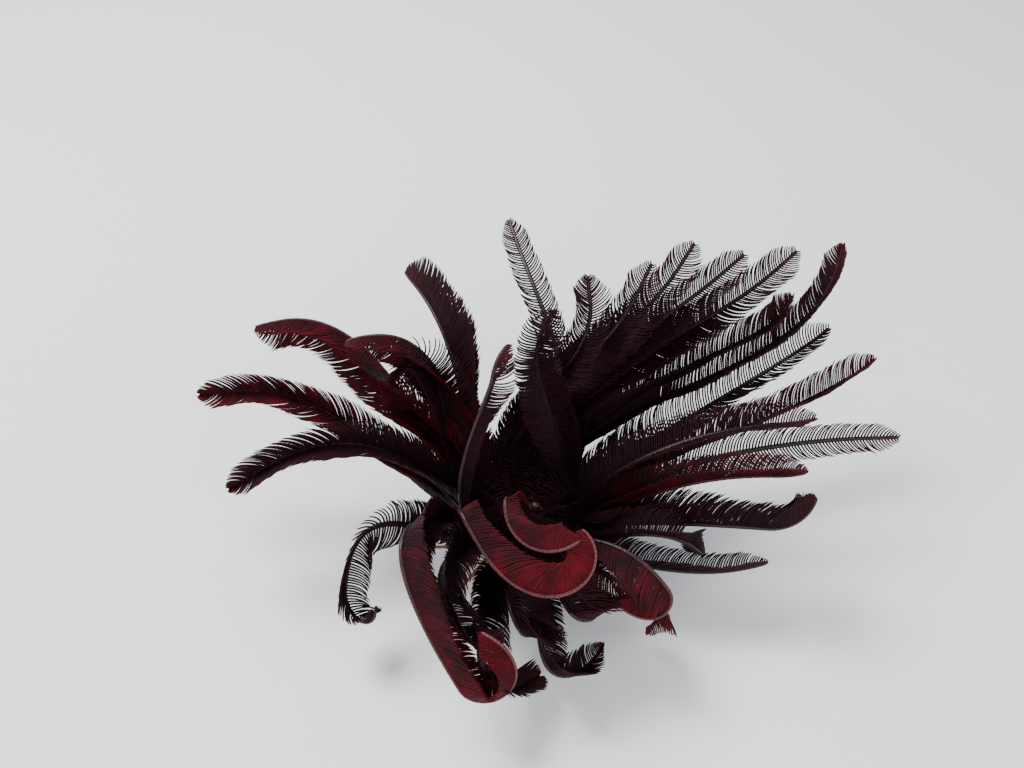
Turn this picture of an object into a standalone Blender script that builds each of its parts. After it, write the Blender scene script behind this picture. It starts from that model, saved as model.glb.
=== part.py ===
"""Feather star (crinoid) standing on its cirri, life size, in the pose of the photograph."""

from collections import namedtuple
import math
import random

import bmesh
import bpy
import numpy as np

MM = 0.001
GAP = 0.3
random.seed(11)

# The frame's origin lies under the middle of the whole outline, this far from the cup's axis, in mm
FRAME_CENTRE = (8.65, 13.09)

# Cup: the centrodorsal plate that carries the cirri, in mm
CUP_RADIUS = 4.4
CUP_LOW = 8.5
CUP_HIGH = 13.6
CUP_SIDES = 14

# Cirri: jointed legs in mm and degrees
CIRRUS_COUNT = 18
CIRRUS_SIDES = 4
CIRRUS_RINGS = 6
CIRRUS_REACH = (24.0, 31.0)
CIRRUS_RADIUS = (0.75, 0.42)
CIRRUS_ARCH = 5.5
CIRRUS_SINK = 0.32
CIRRUS_SWAY = 5.0
FREE_CIRRUS_EVERY = 3

# Ray bases: the five trunks that divide into the arms
RAY_BEARINGS = {"a": 18.0, "b": 90.0, "c": 162.0, "d": 234.0, "e": 306.0}
RAY_START_RADIUS = 4.3
RAY_START_HEIGHT = 14.9
RAY_START_LENGTH = 3.2
RAY_TRUNK_RADIUS = 1.75
BRANCH_RADIUS = (1.5, 1.05)
ROOT_RADIUS = 15.0
ROOT_SPREAD = 62.0
ROOT_HEIGHTS = (18.5, 22.5)
ROOT_RISES = (30.0, 58.0)
STEEP_ARM = 1.05

# Oral disc: the soft roof over the cup, with the anal cone beside the mouth
DISC_RADIUS = 10.0
DISC_RIM = (21.0, 22.6)
DISC_TOP = 25.2
DISC_LOW = 18.0
CONE_HEIGHT = 30.5
CONE_PLACE = (4.2, -1.8)

# Arms: rachis radius at the root and at the end, in mm
RACHIS_RADIUS = (1.05, 0.55)
RACHIS_STEP = 12.0
TURN_STEP = 32.0
ROOT_RING = 1.5
STEPS = 60
ROOT_PULL = 0.3
ORAL_UP = 0.75
ORAL_IN = 0.65
PLAIN_CURL = (22.0, 40.0, 18.0)
FACE_FROM = 0.7
SPLIT_AT = 0.56

# Pinnules: side branches in mm and degrees
PINNULE_LENGTH = 9.4
ROOT_SHARE = 0.8
END_SHARE = 0.7
TIP_ROUND = 10.0
TIP_POWER = 0.65
BARE_SHARE = 0.4
BARE_RAMP = 0.2
PINNULE_RADIUS = (0.46, 0.36, 0.05)
PINNULE_PITCH = 10.2
PINNULE_LEAN = 22.0
PINNULE_HOOK = 28.0
PINNULE_RISE = 0.12
FIRST_PINNULE = 12.0
LAST_PINNULE = 1.6
POINT_WELD = 0.06

# Arm table. waist and tip: bearing in degrees, reach from the axis and height over the floor in mm.
# curl: degrees, first and last radius in mm. face: bearing and elevation of the oral side at the tip.
# fold: degrees by which the two rows of pinnules rise to the oral side. size: share of the usual length.
# bare: share of the arm, from its root, over which the pinnules stay short.
# lean: degrees by which the pinnules lean further to the tip than those of other arms.
FIELDS = "ray waist tip curl face red fold size bare lean"
Arm = namedtuple("Arm", FIELDS, defaults=(None, None, 0.1, 34, 1.0, 0.0, 0))
ARMS = {
    "a0": Arm("a", (57, 16.5, 54), (60, 13.9, 91), (15, 40, 20), (270, 40), 0.1, 24, 1.05),
    "a1": Arm("a", (347.4, 44.9, 31), (346.3, 73.3, 38), (78, 15, 12), (90, 45), 0.1, 50, 1.3, 0, 4),
    "a2": Arm("a", (354.3, 40.2, 38.2), (354, 73.3, 50), None, (120, 70), 0.35, 50, 1, 0, 6),
    "a3": Arm("a", (12.5, 60.2, 33.7), (9.2, 112.4, 38), (8, 60, 40), (270, 50), 0.1, 26, 0.85),
    "a4": Arm("a", (6.5, 39.4, 45.8), (5.3, 77.6, 56), None, None, 0.1, 40),
    "a5": Arm("a", (22.1, 62.7, 29), (21.9, 116.2, 40), None, (190, 60), 0.35, 44, 1.1, 0, 10),
    "a6": Arm("a", (28.8, 53.8, 33), (27.1, 103, 50), None, None, 0.1, 30, 1.1),
    "a7": Arm("a", (71.9, 43.6, 45.4), (90.8, 81.2, 66), (10, 60, 45), (270, 45), 0.1, 24, 0.78),
    "b1": Arm("b", (33.1, 64.5, 43.5), (33.6, 123.9, 66), (10, 50, 40), (210, 50), 0.1, 48, 0.95, 0, 8),
    "b2": Arm("b", (47.9, 47.9, 51.5), (35.3, 99.1, 74), (10, 50, 40), (250, 45), 0.1, 36, 1.12),
    "b3": Arm("b", (57, 39.8, 52), (40, 82.9, 76), (10, 50, 40), (270, 45), 0.1, 36, 1.12),
    "b4": Arm("b", (62.3, 34.5, 52.3), (46.3, 71, 80), (10, 50, 40), (270, 45), 0.1, 36, 1.12),
    "b5": Arm("b", (68.5, 26, 51.5), (48.7, 54.5, 80), (10, 50, 40), (270, 45), 0.1, 36, 1.12),
    "b6": Arm("b", (73.2, 20.6, 54), (59.4, 40.2, 80), (10, 50, 40), (270, 40), 0.1, 40, 1.1, 0.4),
    "b7": Arm("b", (40.7, 56.9, 43), (31.5, 96, 59), None, None, 0.2, 52, 1.1, 0, 8),
    "c1": Arm("c", (132, 27, 58), (123, 62, 73), (10, 40, 30), (10, 20), 0.15, 60, 1.35, 0.36, 5),
    "c2": Arm("c", (135.8, 30.6, 54), (147.7, 51.8, 72), (25, 30, 14), (262, -20), 0.36, 60, 1.25, 0, 5),
    "c3": Arm("c", (146.1, 46.1, 53.7), (152.7, 83.5, 68), (8, 60, 40), (255, -15), 0.42, 60, 1.4, 0, 5),
    "c4": Arm("c", (159.5, 51.4, 38.3), (161.7, 96.1, 46), (14, 50, 30), (275, 45), 0.4, 56, 1.3, 0, 8),
    "c5": Arm("c", (169.4, 39.6, 43), (177.5, 80, 38), (14, 50, 30), (275, 50), 0.15, 56, 1.25, 0, 8),
    "c6": Arm("c", (193, 15.5, 57), (186, 8, 82), (40, 24, 12), (20, 0), 0.3, 42, 1.05, 0.62),
    "c7": Arm("c", (141.1, 25.9, 38.7), (145.9, 43.8, 49), (14, 40, 30), (300, 30), 0.2, 46, 1.4),
    "c8": Arm("c", (143.5, 28.5, 52), (146.3, 40, 65), (14, 40, 30), (300, 30), 0.2, 46, 1.4),
    "d1": Arm("d", (201.6, 38.1, 36), (208, 58, 22), (200, 9, 4.5), (325, 10), 0.1, 30),
    "d2": Arm("d", (224.4, 42.1, 54), (254.3, 61.6, 21), (215, 6.5, 30), (0, 0), 0.8, 54, 1.1, 0.08),
    "d3": Arm("d", (229.8, 25, 45.9), (247.6, 34.1, 54), (208, 120, 8), (10, 12), 1, 74, 1.4, 0.42),
    "d4": Arm("d", (255, 45, 22), (269.1, 52.3, 11), (25, 30, 14), (20, 40), 0.1, 50, 1.3, 0, 12),
    "d5": Arm("d", (236, 34, 40), (249, 50, 32), (120, 12, 6), (0, 30), 0.1, 48, 1.3, 0, 12),
    "d6": Arm("d", (264, 34, 30), (270, 43, 24), (130, 9, 5), (20, 40), 0.15, 50, 1.5, 0, 6),
    "e1": Arm("e", (277, 42, 25), (286, 52, 13), (130, 9, 6), (40, 40), 0.1, 44, 0.9),
    "e2": Arm("e", (267.6, 20.7, 48), (261.9, 29, 60), (125, 11, 13), (10, 10), 0.75, 74, 1.1, 0.58),
    "e3": Arm("e", (315.8, 30.1, 36.8), (319, 54.4, 34), (165, 4, 60), (216, -32), 0.75, 64, 1.15, 0.25),
    "e4": Arm("e", (320, 41, 22), (323, 53, 14), (70, 12, 6), (240, -45), 0.5, 36, 0.8),
    "e5": Arm("e", (332.7, 40.8, 22.3), (343.9, 70.3, 22), (8, 50, 40), (90, 60), 0.1, 38, 0.9),
    "e6": Arm("e", (335, 35, 32), (343, 54, 26), (40, 30, 10), None, 0.1, 50, 0.9),
    "e7": Arm("e", (288, 36, 30), (296, 44, 25), (120, 8, 5), (60, 40), 0.2, 50, 1.5),
}
SPLIT_ARMS = "a5 a6 b1 b2 b7 c2 c3 c4 c5 d1 d2 d3 d5 e1 e2 e3 e4".split()


def polar(bearing, reach, height):
    turn = math.radians(bearing)
    return np.array([reach * math.cos(turn), reach * math.sin(turn), height])


def unit(rows):
    rows = np.asarray(rows, float)
    return rows / np.linalg.norm(rows, axis=-1, keepdims=True)


def across(rows, tangent):
    """The rows with their share along the tangent taken out, as unit vectors."""
    return unit(rows - tangent * np.sum(rows * tangent, axis=-1, keepdims=True))


def arm_roots():
    """Root point and direction of each arm: the arms of a ray leave it side by side, in two tiers."""
    found = {}
    for ray, middle in RAY_BEARINGS.items():
        names = [name for name, arm in ARMS.items() if arm.ray == ray]
        names.sort(key=lambda name: (ARMS[name].waist[0] - middle + 180) % 360)
        for i, name in enumerate(names):
            side = (i + 0.5) / len(names) - 0.5
            tier = 1 if ARMS[name].waist[2] / ARMS[name].waist[1] > STEEP_ARM else 0
            bearing = middle + side * ROOT_SPREAD
            rise = math.radians(ROOT_RISES[tier])
            leave = polar(bearing, math.cos(rise), math.sin(rise))
            found[name] = (polar(bearing, ROOT_RADIUS, ROOT_HEIGHTS[tier]), leave)
    return found


def centreline(arm, start, leave):
    """Points, tangents and oral directions from the root by the waist to the tip, then round the curl."""
    waist = polar(*arm.waist)
    tip = polar(*arm.tip)
    reach = np.linalg.norm(waist - start) + np.linalg.norm(tip - waist)
    pull = start + leave * reach * ROOT_PULL
    push = (8 * waist - start - 3 * pull - tip) / 3
    t = np.linspace(0, 1, STEPS)[:, None]
    line = (1 - t) ** 3 * start + 3 * t * (1 - t) ** 2 * pull + 3 * t * t * (1 - t) * push + t**3 * tip
    tangent = unit(np.gradient(line, axis=0))
    outward = line * [1, 1, 0]
    outward = outward / np.maximum(np.linalg.norm(outward, axis=1, keepdims=True), 1)
    oral = across(np.array([0, 0, ORAL_UP]) - ORAL_IN * outward, tangent)
    if arm.face:
        bearing, rise = arm.face
        want = polar(bearing, math.cos(math.radians(rise)), math.sin(math.radians(rise)))
        part = np.minimum(1, t / FACE_FROM)
        share = part * part * (3 - 2 * part)
        oral = across(oral * (1 - share) + across(want + 0 * tangent, tangent) * share, tangent)
    angle, first, last = arm.curl or PLAIN_CURL
    length = math.radians(angle) / ((1 / first + 1 / last) / 2)
    along = np.linspace(0, length, STEPS // 2)
    bend = 1 / first + (1 / last - 1 / first) * along / length
    turn = np.concatenate([[0], np.cumsum((bend[1:] + bend[:-1]) / 2 * np.diff(along))])[:, None]
    ahead = np.cos(turn) * tangent[-1] + np.sin(turn) * oral[-1]
    inward = np.cos(turn) * oral[-1] - np.sin(turn) * tangent[-1]
    more = line[-1] + np.cumsum((ahead[1:] + ahead[:-1]) / 2 * np.diff(along)[:, None], axis=0)
    line = np.concatenate([line, more])
    return line, np.concatenate([tangent, ahead[1:]]), np.concatenate([oral, inward[1:]])


class Path:
    """One arm's rachis, read by its length in mm from the root."""

    def __init__(self, name, start, leave):
        self.name = name
        self.line, self.tangent, self.oral = centreline(ARMS[name], start, leave)
        steps = np.linalg.norm(np.diff(self.line, axis=0), axis=1)
        self.at = np.concatenate([[0], np.cumsum(steps)])
        self.length = self.at[-1]

    def pick(self, rows, s):
        return np.stack([np.interp(s, self.at, rows[:, i]) for i in range(3)], axis=-1)

    def point(self, s):
        return self.pick(self.line, s)

    def frame(self, s):
        """Point, tangent, oral direction and side direction at a length."""
        tangent = unit(self.pick(self.tangent, s))
        oral = across(self.pick(self.oral, s), tangent)
        return self.point(s), tangent, oral, np.cross(tangent, oral)

    def radius(self, s):
        root, end = RACHIS_RADIUS
        return root + (end - root) * np.asarray(s) / self.length

    def marks(self, low, high):
        """Lengths at which the rachis has a ring: near even, closer where it turns."""
        fine = np.linspace(low, high, 200)
        tangent = unit(self.pick(self.tangent, fine))
        turned = np.degrees(np.arccos(np.clip(np.sum(tangent[1:] * tangent[:-1], axis=1), -1, 1)))
        cost = np.concatenate([[0], np.cumsum(np.diff(fine) / RACHIS_STEP + turned / TURN_STEP)])
        count = max(3, int(math.ceil(cost[-1])))
        return np.interp(np.linspace(0, cost[-1], count + 1), cost, fine)


def new_material(name, colour, roughness):
    material = bpy.data.materials.new(name)
    material.use_nodes = True
    shader = material.node_tree.nodes["Principled BSDF"]
    shader.inputs["Base Color"].default_value = (*colour, 1)
    shader.inputs["Roughness"].default_value = roughness
    shader.inputs["Metallic"].default_value = 0
    return material


def tube_curve(name, lines, sides, collection):
    """A curve object of poly splines, each point with its own radius, with a bevel of so many sides."""
    profile = bpy.data.curves.new(name + "_profile", "CURVE")
    ring = profile.splines.new("POLY")
    ring.points.add(sides - 1)
    for i in range(sides):
        turn = 2 * math.pi * i / sides
        ring.points[i].co = (math.cos(turn) * MM, math.sin(turn) * MM, 0, 1)
    ring.use_cyclic_u = True
    profile_object = bpy.data.objects.new(name + "_profile", profile)
    collection.objects.link(profile_object)
    curve = bpy.data.curves.new(name + "_curve", "CURVE")
    curve.dimensions = "3D"
    curve.bevel_mode = "OBJECT"
    curve.bevel_object = profile_object
    curve.use_fill_caps = True
    for points, radii in lines:
        spline = curve.splines.new("POLY")
        spline.points.add(len(points) - 1)
        for i, point in enumerate(points):
            spline.points[i].co = (*(np.asarray(point) * MM), 1)
            spline.points[i].radius = float(radii[i])
    made = bpy.data.objects.new(name + "_curve", curve)
    collection.objects.link(made)
    return made, profile_object


def tube_mesh(name, lines, sides, collection):
    """Closed tubes along the lines as one mesh object, caps welded, ends of no width drawn to a point."""
    made, profile_object = tube_curve(name, lines, sides, collection)
    bpy.context.view_layer.update()
    graph = bpy.context.evaluated_depsgraph_get()
    mesh = bpy.data.meshes.new_from_object(made.evaluated_get(graph))
    placed = bpy.data.objects.new(name, mesh)
    placed.matrix_world = made.matrix_world
    collection.objects.link(placed)
    bpy.data.objects.remove(made)
    bpy.data.objects.remove(profile_object)
    work = bmesh.new()
    work.from_mesh(mesh)
    bmesh.ops.remove_doubles(work, verts=work.verts, dist=POINT_WELD * MM * 2)
    bmesh.ops.dissolve_degenerate(work, edges=work.edges, dist=0.001 * MM)
    bmesh.ops.triangulate(work, faces=work.faces)
    bmesh.ops.recalc_face_normals(work, faces=work.faces)
    work.to_mesh(mesh)
    work.free()
    return placed


def largest_body(mesh):
    """Keeps only the connected piece with the most faces."""
    work = bmesh.new()
    work.from_mesh(mesh)
    left = set(work.faces)
    best = []
    while left:
        stack = [left.pop()]
        piece = list(stack)
        while stack:
            face = stack.pop()
            for edge in face.edges:
                for other in edge.link_faces:
                    if other in left:
                        left.remove(other)
                        stack.append(other)
                        piece.append(other)
        if len(piece) > len(best):
            best = piece
    keep = set(best)
    bmesh.ops.delete(work, geom=[face for face in work.faces if face not in keep], context="FACES")
    work.to_mesh(mesh)
    work.free()


def join_pieces(base, pieces):
    """One Boolean union of the pieces with the base, applied, with the pieces then removed."""
    if not pieces:
        return
    group = bpy.data.collections.new(base.name + "_pieces")
    bpy.context.scene.collection.children.link(group)
    group.hide_render = True
    for piece in pieces:
        for holder in list(piece.users_collection):
            holder.objects.unlink(piece)
        piece.display_type = "WIRE"
        group.objects.link(piece)
    union = base.modifiers.new("join", "BOOLEAN")
    union.operation = "UNION"
    union.operand_type = "COLLECTION"
    union.collection = group
    union.solver = "MANIFOLD"
    bpy.context.view_layer.update()
    graph = bpy.context.evaluated_depsgraph_get()
    joined = bpy.data.meshes.new_from_object(base.evaluated_get(graph))
    base.modifiers.clear()
    old = base.data
    base.data = joined
    bpy.data.meshes.remove(old)
    for piece in list(group.objects):
        bpy.data.objects.remove(piece)
    bpy.data.collections.remove(group)
    largest_body(base.data)


def finish(made, material):
    """Gives the node its material and its place in the part's frame."""
    made.location = (-FRAME_CENTRE[0] * MM, -FRAME_CENTRE[1] * MM, 0)
    made.data.materials.clear()
    made.data.materials.append(material)
    for face in made.data.polygons:
        face.material_index = 0
        face.use_smooth = False


def lathe(name, profile, sides, collection):
    """A closed solid of revolution about +Z from a half profile that starts and ends on the axis."""
    mesh = bpy.data.meshes.new(name)
    edges = [(i, i + 1) for i in range(len(profile) - 1)]
    mesh.from_pydata([(r * MM, 0, z * MM) for r, z in profile], edges, [])
    made = bpy.data.objects.new(name, mesh)
    collection.objects.link(made)
    screw = made.modifiers.new("turn", "SCREW")
    screw.steps = sides
    screw.render_steps = sides
    screw.use_merge_vertices = True
    screw.merge_threshold = 0.00001
    bpy.context.view_layer.update()
    graph = bpy.context.evaluated_depsgraph_get()
    turned = bpy.data.meshes.new_from_object(made.evaluated_get(graph))
    made.modifiers.clear()
    made.data = turned
    bpy.data.meshes.remove(mesh)
    work = bmesh.new()
    work.from_mesh(turned)
    bmesh.ops.remove_doubles(work, verts=work.verts, dist=0.00001)
    bmesh.ops.triangulate(work, faces=work.faces)
    bmesh.ops.recalc_face_normals(work, faces=work.faces)
    work.to_mesh(turned)
    work.free()
    return made


def segment_distance(p, q, a, b):
    """Least distance from the segment p-q to each segment a[i]-b[i]."""
    u = q - p
    v = b - a
    w = p - a
    uu = u @ u
    uv = v @ u
    vv = np.sum(v * v, axis=1)
    uw = w @ u
    vw = np.sum(v * w, axis=1)
    base = np.maximum(uu * vv - uv * uv, 1e-12)
    s = np.clip((uv * vw - vv * uw) / base, 0, 1)
    t = np.clip((uv * s + vw) / np.maximum(vv, 1e-12), 0, 1)
    s = np.clip((t * uv - uw) / max(uu, 1e-12), 0, 1)
    return np.linalg.norm(w + s[:, None] * u - t[:, None] * v, axis=1)


class Space:
    """Capsules already taken, each with the arm that it belongs to and its length along that arm."""

    def __init__(self):
        self.ends = np.zeros((0, 2, 3))
        self.radii = np.zeros(0)
        self.owners = np.zeros(0, int)
        self.lengths = np.zeros(0)

    def add(self, starts, ends, radii, owner, lengths):
        self.ends = np.concatenate([self.ends, np.stack([starts, ends], axis=1)])
        self.radii = np.concatenate([self.radii, radii])
        self.owners = np.concatenate([self.owners, np.full(len(radii), owner)])
        self.lengths = np.concatenate([self.lengths, lengths])

    def room(self, p, q, radius, skip):
        """Clear distance from a capsule to all those not skipped."""
        rows = ~skip
        if not rows.any():
            return 99.0
        found = segment_distance(p, q, self.ends[rows, 0], self.ends[rows, 1])
        return float(np.min(found - self.radii[rows])) - radius


def pinnule_points(path, s, side, fold, lean, size):
    """Root, middle and tip of one pinnule."""
    point, tangent, oral, flank = path.frame(s)
    fold = math.radians(fold)
    lean = math.radians(lean)
    out = side * flank * math.cos(fold) + oral * math.sin(fold)
    first = out * math.cos(lean) + tangent * math.sin(lean)
    hook = lean + math.radians(PINNULE_HOOK)
    second = out * math.cos(hook) + tangent * math.sin(hook) + oral * PINNULE_RISE
    root = point + out * path.radius(s) * 0.15
    middle = root + first * size * 0.55
    tip = middle + second * size * 0.45
    return np.array([root, middle, tip])


def pinnule_size(path, s):
    """Short at the root of the arm, full along it and shorter again to the end."""
    part = s / path.length
    start = ROOT_SHARE + (1 - ROOT_SHARE) * min(1, part / 0.22)
    end = 1 - (1 - END_SHARE) * max(0, part - 0.45) / 0.55
    tip = min(1, (path.length - s) / TIP_ROUND) ** TIP_POWER
    bare = ARMS[path.name].bare
    if bare and part < bare + BARE_RAMP:
        start *= BARE_SHARE + (1 - BARE_SHARE) * max(0, part - bare) / BARE_RAMP
    return PINNULE_LENGTH * ARMS[path.name].size * start * end * tip


def place_pinnules(paths, space, plain):
    """Pinnules of all arms, each turned, shifted or shortened until it is clear of everything else."""
    placed = {name: [] for name in paths}
    if plain:
        return placed
    wanted = []
    for owner, (name, path) in enumerate(paths.items()):
        count = int((path.length - FIRST_PINNULE - LAST_PINNULE) / PINNULE_PITCH * 2)
        for i in range(count):
            s = FIRST_PINNULE + (path.length - FIRST_PINNULE - LAST_PINNULE) * (i + 0.5) / count
            wanted.append((owner, name, s, 1 if i % 2 else -1))
    random.shuffle(wanted)
    lost = 0
    for owner, name, s, side in wanted:
        path = paths[name]
        arm = ARMS[name]
        size = pinnule_size(path, s) * random.uniform(0.92, 1.05)
        best = None
        for share in (1.0, 0.85, 0.7, 0.55):
            for shift in (0.0, 1.6, -1.6, 3.0, -3.0):
                at = min(max(s + shift, FIRST_PINNULE * 0.8), path.length - LAST_PINNULE)
                if any(abs(at - split) < 1.4 for split in split_marks(path)):
                    continue
                for fold, lean in ((0, 0), (16, 6), (-18, 4), (34, 10), (-34, 8), (10, 22), (50, 14)):
                    lean = lean + PINNULE_LEAN + arm.lean
                    points = pinnule_points(path, at, side, arm.fold + fold, lean, size * share)
                    if is_clear(points, path, owner, at, space):
                        best = (at, points)
                        break
                if best:
                    break
            if best:
                break
        if not best:
            lost += 1
            continue
        at, points = best
        radii = np.array(PINNULE_RADIUS[:2])
        space.add(points[:-1], points[1:], radii, owner, np.array([at, at]))
        placed[name].append((at, points))
    print("pinnules left out:", lost, "of", len(wanted))
    return placed


def is_clear(points, path, owner, at, space):
    if points[:, 2].min() < GAP + PINNULE_RADIUS[0]:
        return False
    middle = (points[0] + points[1]) / 2
    near = (space.owners == owner) & (np.abs(space.lengths - at) < 2.6)
    if space.room(points[1], points[2], PINNULE_RADIUS[1], near) < GAP:
        return False
    own = (space.owners == owner) & (np.abs(space.lengths - at) < 4.2)
    return space.room(middle, points[1], PINNULE_RADIUS[0], own) >= GAP


def split_marks(path):
    return [SPLIT_AT * path.length] if path.name in SPLIT_ARMS else []


def rachis_lengths(path):
    """(node name, first length, last length) of the lengths that an arm is made in."""
    name = "arm_" + path.name
    marks = split_marks(path)
    if not marks:
        return [(name, 0.0, path.length)]
    return [(name, 0.0, marks[0] - GAP / 2), (name + "_end", marks[0] + GAP / 2, path.length)]


def fill_space(paths, space):
    """Puts every rachis, the disc and the cup into the taken space."""
    for owner, path in enumerate(paths.values()):
        marks = np.linspace(0, path.length, 60)
        points = path.point(marks)
        radii = path.radius(marks[:-1]) * 1.05
        space.add(points[:-1], points[1:], radii, owner, (marks[:-1] + marks[1:]) / 2)
    top = np.array([[0.0, 0.0, 15.0]])
    space.add(top, top + [0, 0, 6.0], np.array([DISC_RADIUS]), -1, np.zeros(1))
    cone = np.array([[CONE_PLACE[0], CONE_PLACE[1], 22.0]])
    space.add(cone, cone + [0, 0, CONE_HEIGHT - 22.0], np.array([2.6]), -1, np.zeros(1))


def make_arms(paths, placed, collection, materials):
    for path in paths.values():
        for node, low, high in rachis_lengths(path):
            marks = path.marks(low, high)
            if low == 0:
                marks = np.insert(marks, 1, ROOT_RING)
            base = tube_mesh(node, [(path.point(marks), path.radius(marks))], 4, collection)
            lines = [(points, PINNULE_RADIUS) for at, points in placed[path.name] if low < at < high]
            if lines:
                rods = [tube_mesh(f"{node}_{i}", [line], 3, collection) for i, line in enumerate(lines)]
                join_pieces(base, rods)
            finish(base, materials["red" if ARMS[path.name].red > 0.5 else "dark"])


def make_ray_bases(roots, collection, material):
    for ray, middle in RAY_BEARINGS.items():
        trunk_start = polar(middle, RAY_START_RADIUS, RAY_START_HEIGHT)
        trunk_end = trunk_start + polar(middle, RAY_START_LENGTH, 0.5)
        trunk = [(np.array([trunk_start, trunk_end]), (RAY_TRUNK_RADIUS, RAY_TRUNK_RADIUS))]
        base = tube_mesh("ray_base_" + ray, trunk, 8, collection)
        pieces = []
        for name, (root, leave) in roots.items():
            if ARMS[name].ray != ray:
                continue
            start = trunk_end - polar(middle, 1.6, 0.2)
            end = root - leave * GAP
            rise = end - leave * 3.4
            t = np.linspace(0, 1, 4)[:, None]
            ahead = start + polar(middle, 2.6, 0)
            line = (1 - t) ** 3 * start + 3 * t * (1 - t) ** 2 * ahead
            line = line + 3 * t * t * (1 - t) * rise + t**3 * end
            radii = np.linspace(BRANCH_RADIUS[0], BRANCH_RADIUS[1], len(line))
            pieces.append(tube_mesh("branch_" + name, [(line, radii)], 4, collection))
        join_pieces(base, pieces)
        finish(base, material)


def cirrus_line(i):
    """Centreline of one cirrus: out and up from the cup, then down to the floor, where its end lies."""
    bearing = 360.0 * i / CIRRUS_COUNT + CIRRUS_SWAY * math.sin(1.7 * i)
    free = i % FREE_CIRRUS_EVERY == 0
    low, high = CIRRUS_REACH
    reach = (low + (high - low) * (0.5 + 0.5 * math.sin(2.4 * i))) * (0.62 if free else 1.0)
    start = CUP_LOW + (2.9 if free else 1.2)
    points = []
    for k in range(CIRRUS_RINGS):
        t = k / (CIRRUS_RINGS - 1)
        out = CUP_RADIUS * 0.55 + (reach - CUP_RADIUS * 0.55) * t
        if free:
            height = start + CIRRUS_ARCH * 0.35 * math.sin(math.pi * t) - 5.5 * t * t
        else:
            floor = CIRRUS_RADIUS[1] - CIRRUS_SINK
            fall = min(1.0, t / 0.8)
            arch = CIRRUS_ARCH * math.sin(math.pi * fall) * (1 - fall) ** 0.5
            height = start + (floor - start) * fall**1.7 + arch
        points.append(polar(bearing + 7 * t * t * (-1) ** i, out, height))
    radii = np.linspace(CIRRUS_RADIUS[0], CIRRUS_RADIUS[1], CIRRUS_RINGS)
    radii[-1] = CIRRUS_RADIUS[1] * 0.6
    return np.array(points), radii


def cut_at_floor(made):
    """Takes off what lies under the floor and closes the flats that this leaves."""
    work = bmesh.new()
    work.from_mesh(made.data)
    geom = list(work.verts) + list(work.edges) + list(work.faces)
    bmesh.ops.bisect_plane(
        work, geom=geom, dist=0.000001, plane_co=(0, 0, 0), plane_no=(0, 0, 1), clear_inner=True
    )
    bmesh.ops.holes_fill(work, edges=[edge for edge in work.edges if edge.is_boundary], sides=0)
    bmesh.ops.triangulate(work, faces=work.faces)
    bmesh.ops.recalc_face_normals(work, faces=work.faces)
    work.to_mesh(made.data)
    work.free()


def make_cup(collection, material):
    middle = (CUP_LOW + CUP_HIGH) / 2
    profile = [
        (0, CUP_LOW),
        (CUP_RADIUS * 0.55, CUP_LOW + 0.3),
        (CUP_RADIUS * 0.92, middle - 1.0),
        (CUP_RADIUS, middle + 0.8),
        (CUP_RADIUS * 0.9, CUP_HIGH - 0.5),
        (CUP_RADIUS * 0.8, CUP_HIGH),
        (0, CUP_HIGH),
    ]
    base = lathe("centrodorsal_cirri", profile, CUP_SIDES, collection)
    pieces = []
    for i in range(CIRRUS_COUNT):
        piece = tube_mesh(f"cirrus_{i}", [cirrus_line(i)], CIRRUS_SIDES, collection)
        cut_at_floor(piece)
        pieces.append(piece)
    join_pieces(base, pieces)
    finish(base, material)


def make_disc(collection, material):
    profile = [
        (0, DISC_LOW),
        (DISC_RADIUS * 0.5, DISC_LOW + 0.5),
        (DISC_RADIUS, DISC_RIM[0]),
        (DISC_RADIUS * 1.02, (DISC_RIM[0] + DISC_RIM[1]) / 2),
        (DISC_RADIUS * 0.94, DISC_RIM[1]),
        (DISC_RADIUS * 0.6, DISC_TOP - 0.6),
        (DISC_RADIUS * 0.25, DISC_TOP),
        (0, DISC_TOP - 0.4),
    ]
    base = lathe("oral_disc", profile, 20, collection)
    foot = np.array([CONE_PLACE[0], CONE_PLACE[1], DISC_TOP - 2.4])
    rise = CONE_HEIGHT - DISC_TOP
    line = [foot, foot + [0, 0, 3.0], foot + [0.3, 0, rise + 1.2], foot + [0.5, 0, rise + 2.4]]
    cone = tube_mesh("anal_cone", [(line, (2.3, 1.9, 1.5, 0.9))], 8, collection)
    join_pieces(base, [cone])
    finish(base, material)


def main():
    for old in list(bpy.data.objects):
        bpy.data.objects.remove(old)
    collection = bpy.data.collections.new("feather_star")
    bpy.context.scene.collection.children.link(collection)
    materials = {
        "dark": new_material("dark_maroon_arm", (0.03, 0.006, 0.011), 0.6),
        "red": new_material("red_arm", (0.14, 0.006, 0.012), 0.6),
    }
    ridge = new_material("ray_base_pinkish", (0.12, 0.04, 0.045), 0.6)
    horn = new_material("cirrus_horn", (0.3, 0.1, 0.07), 0.5)
    skin = new_material("oral_disc_skin", (0.07, 0.02, 0.028), 0.55)
    roots = arm_roots()
    paths = {name: Path(name, *roots[name]) for name in ARMS}
    space = Space()
    fill_space(paths, space)
    placed = place_pinnules(paths, space, PLAIN)
    make_cup(collection, horn)
    make_ray_bases(roots, collection, ridge)
    make_disc(collection, skin)
    make_arms(paths, placed, collection, materials)


PLAIN = False
main()
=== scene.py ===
"""Looks of the feather star: one skin, close combs of pinnules, jointed cirri, studio stage and camera."""

from collections import namedtuple
import math

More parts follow.
